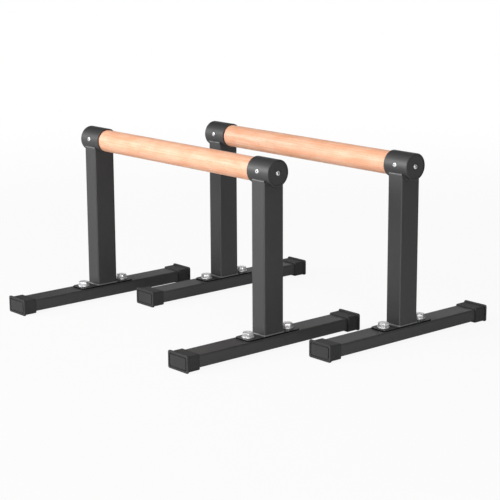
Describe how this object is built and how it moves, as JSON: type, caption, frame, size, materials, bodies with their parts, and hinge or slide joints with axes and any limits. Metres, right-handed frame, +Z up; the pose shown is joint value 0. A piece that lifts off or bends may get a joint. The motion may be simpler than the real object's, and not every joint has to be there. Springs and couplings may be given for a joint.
{
  "type": "parallettes",
  "caption": "Low floor parallettes: round wooden grips held in sockets on welded steel uprights, which are bolted to flat cross feet with moulded end caps.",
  "frame": {"origin": "on the floor, at the middle of the pair's outline, midway between the two stands", "axes": "+X along the grip bars, +Y across them from the front stand to the rear stand, +Z up"},
  "size_m": [0.5936, 0.5576, 0.3032],
  "materials": {
    "beech": "smooth satin, fine grain",
    "black_steel": "matt black powder coat",
    "bright_steel": "bright zinc plate",
    "moulded_black": "matt moulded"
  },
  "bodies": {
    "front_stand": {"front_end_screws": "bright_steel", "front_grip_bar": "beech", "front_left_base_plate": "black_steel", "front_left_end_disc": "black_steel", "front_left_far_cap": "moulded_black", "front_left_foot_bolts": "bright_steel", "front_left_foot_nuts": "bright_steel", "front_left_foot_tube": "black_steel", "front_left_foot_washers": "bright_steel", "front_left_near_cap": "moulded_black", "front_left_post": "black_steel", "front_left_socket": "black_steel", "front_left_welds": "black_steel", "front_right_base_plate": "black_steel", "front_right_end_disc": "black_steel", "front_right_far_cap": "moulded_black", "front_right_foot_bolts": "bright_steel", "front_right_foot_nuts": "bright_steel", "front_right_foot_tube": "black_steel", "front_right_foot_washers": "bright_steel", "front_right_near_cap": "moulded_black", "front_right_post": "black_steel", "front_right_socket": "black_steel", "front_right_welds": "black_steel", "front_side_screws": "bright_steel"},
    "rear_stand": {"rear_end_screws": "bright_steel", "rear_grip_bar": "beech", "rear_left_base_plate": "black_steel", "rear_left_end_disc": "black_steel", "rear_left_far_cap": "moulded_black", "rear_left_foot_bolts": "bright_steel", "rear_left_foot_nuts": "bright_steel", "rear_left_foot_tube": "black_steel", "rear_left_foot_washers": "bright_steel", "rear_left_near_cap": "moulded_black", "rear_left_post": "black_steel", "rear_left_socket": "black_steel", "rear_left_welds": "black_steel", "rear_right_base_plate": "black_steel", "rear_right_end_disc": "black_steel", "rear_right_far_cap": "moulded_black", "rear_right_foot_bolts": "bright_steel", "rear_right_foot_nuts": "bright_steel", "rear_right_foot_tube": "black_steel", "rear_right_foot_washers": "bright_steel", "rear_right_near_cap": "moulded_black", "rear_right_post": "black_steel", "rear_right_socket": "black_steel", "rear_right_welds": "black_steel", "rear_side_screws": "bright_steel"}
  },
  "joints": [
    {"name": "stand_spacing", "type": "slide", "parent": "front_stand", "child": "rear_stand", "axis": [0, 1, 0], "range_m": [-0.15, 0.4]}
  ]
}
